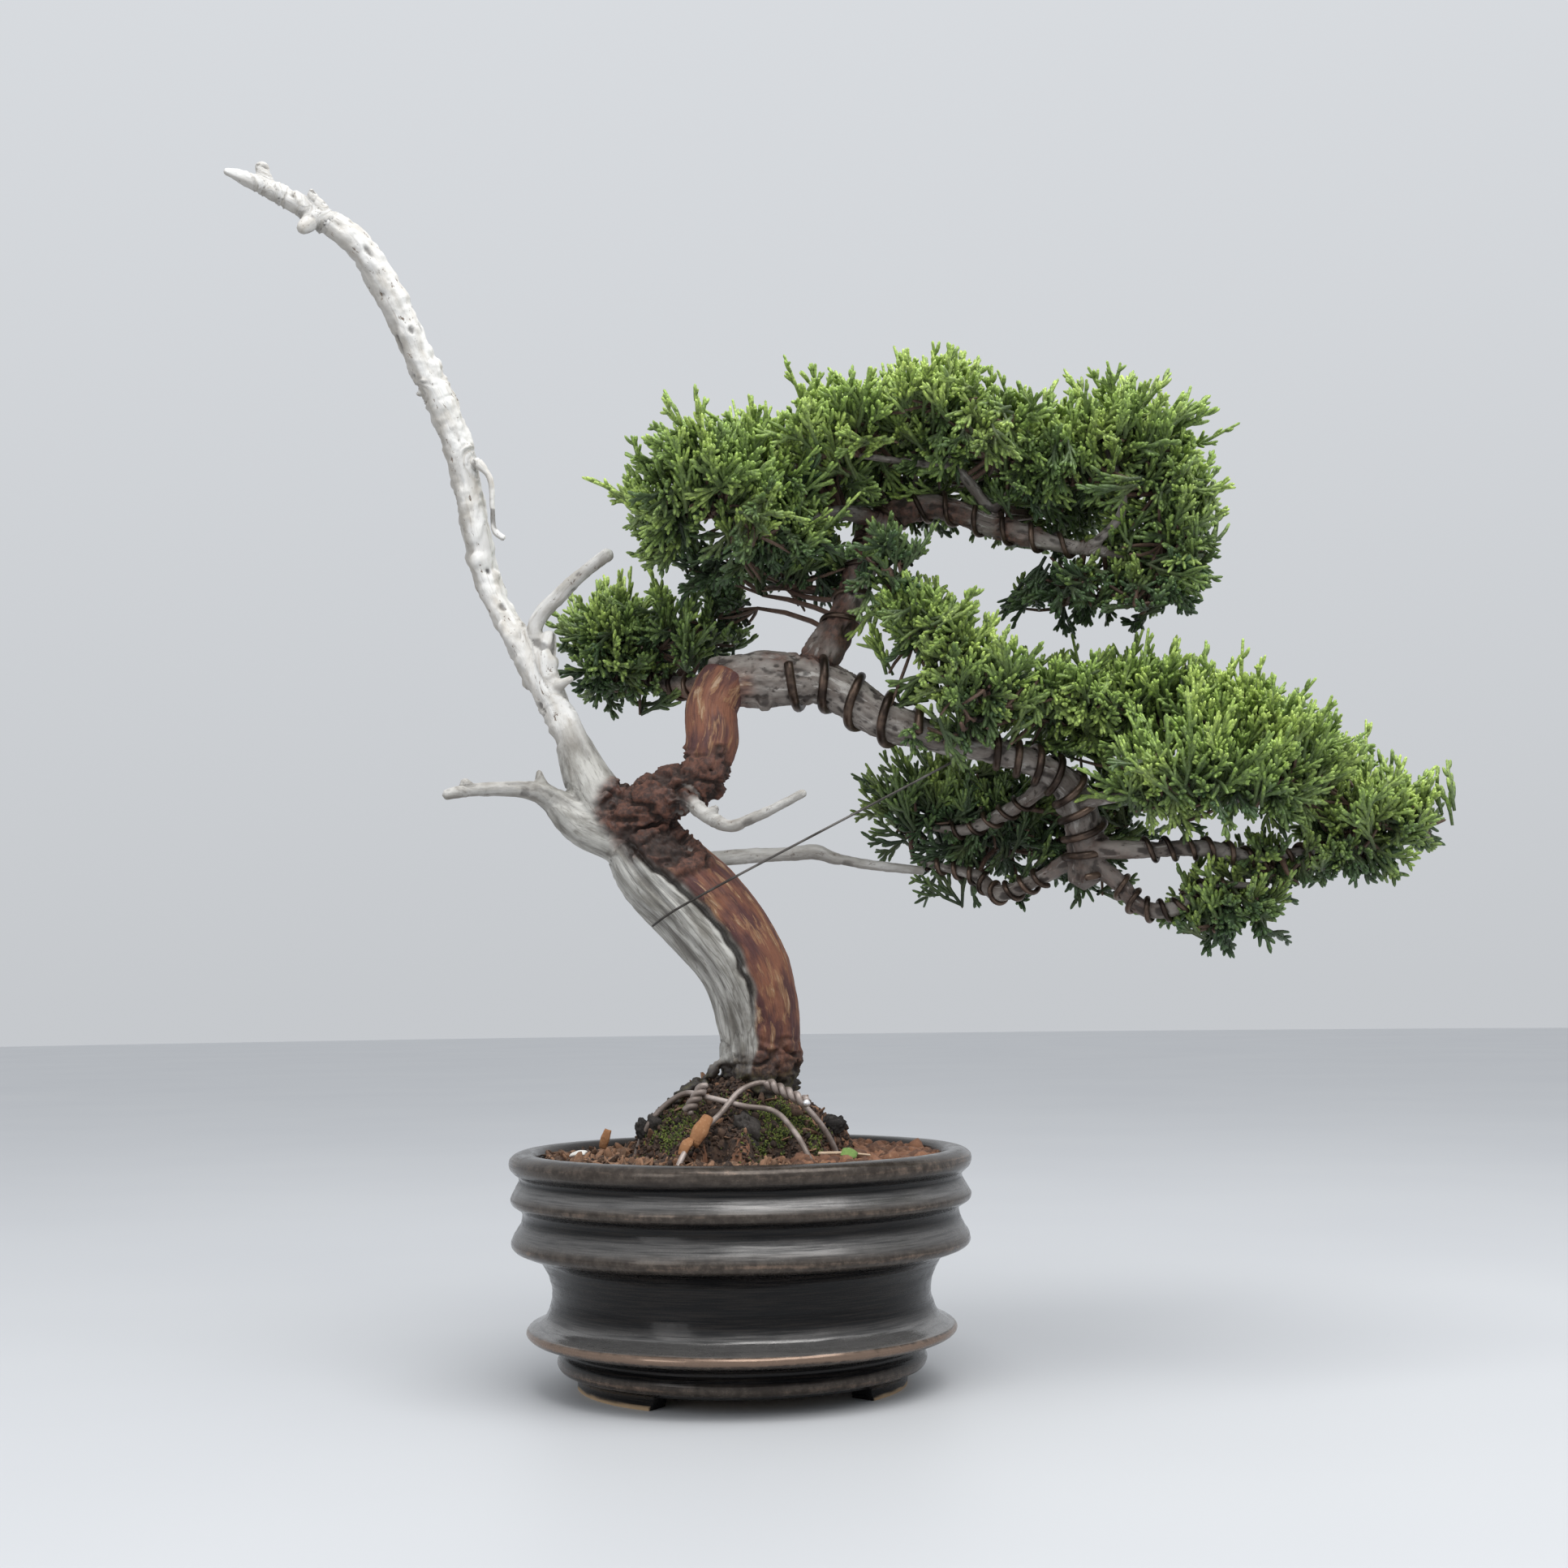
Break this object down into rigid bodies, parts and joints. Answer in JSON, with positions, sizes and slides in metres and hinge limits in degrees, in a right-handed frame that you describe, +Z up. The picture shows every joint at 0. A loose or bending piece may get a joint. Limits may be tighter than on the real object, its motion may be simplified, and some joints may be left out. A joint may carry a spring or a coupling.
{
  "type": "bonsai tree in a pot",
  "caption": "Small slanting juniper bonsai with a long bleached dead leader, wired branches and green foliage pads, tied down in a dark ribbed round pot of clay-granule soil.",
  "frame": {"origin": "middle of the plan footprint of the whole tree and pot, on the surface that the pot's feet stand on", "axes": "+Z up; the front of the tree faces -Y; the foliage reaches to +X and the dead leader to -X"},
  "size_m": [0.4054, 0.15, 0.4054],
  "materials": {
    "glaze": "gloss",
    "mesh_plastic": "matte",
    "tie_wire": "satin",
    "training_wire": "satin",
    "guy_steel": "satin",
    "akadama": "matte",
    "root_ball_soil": "matte",
    "moss": "matte",
    "bark_chip": "matte",
    "shari_wood": "matte",
    "live_bark": "matte",
    "bleached_wood": "matte",
    "grey_bark": "matte",
    "foliage": "satin"
  },
  "bodies": {
    "root": {"pot": "glaze", "mesh_staple": "tie_wire", "drainage_mesh": "mesh_plastic", "tie_wire_upper": "tie_wire", "tie_wire_lower": "tie_wire", "trunk": "shari_wood", "surface_root": "live_bark", "dead_leader": "bleached_wood", "jin_left": "bleached_wood", "jin_fork": "bleached_wood", "upper_trunk": "live_bark", "jin_right_upper": "bleached_wood", "jin_right_lower": "bleached_wood", "main_branch": "grey_bark", "crown_branch": "grey_bark", "crown_left_branch": "grey_bark", "crown_upper_branch": "grey_bark", "crown_tip_branch": "grey_bark", "left_branch": "grey_bark", "right_upper_branch": "grey_bark", "spray_branch": "grey_bark", "inner_upper_branch": "grey_bark", "inner_lower_branch": "grey_bark", "right_front_branch": "grey_bark", "far_right_branch": "grey_bark", "bottom_branch": "grey_bark", "main_branch_wire": "training_wire", "lower_branch_wire": "training_wire", "crown_branch_wire": "training_wire", "left_branch_wire": "training_wire", "inner_upper_wire": "training_wire", "inner_lower_wire": "training_wire", "far_right_wire": "training_wire", "bottom_branch_wire": "training_wire", "guy_wire": "guy_steel", "root_ball": "root_ball_soil", "moss_front": "moss", "moss_left": "moss", "bark_chip": "bark_chip", "akadama_soil": "akadama", "foliage_crown_left": "foliage", "foliage_crown_top_left": "foliage", "foliage_crown_top": "foliage", "foliage_crown_middle": "foliage", "foliage_crown_right": "foliage", "foliage_crown_hanging": "foliage", "foliage_crown_back": "foliage", "foliage_crown_inner": "foliage", "foliage_inner_left": "foliage", "foliage_left": "foliage", "foliage_right_spray": "foliage", "foliage_right_upper": "foliage", "foliage_right_middle": "foliage", "foliage_right_front": "foliage", "foliage_far_right": "foliage", "foliage_lower_left": "foliage", "foliage_lower_back": "foliage", "foliage_bottom_right": "foliage"}
  },
  "joints": []
}
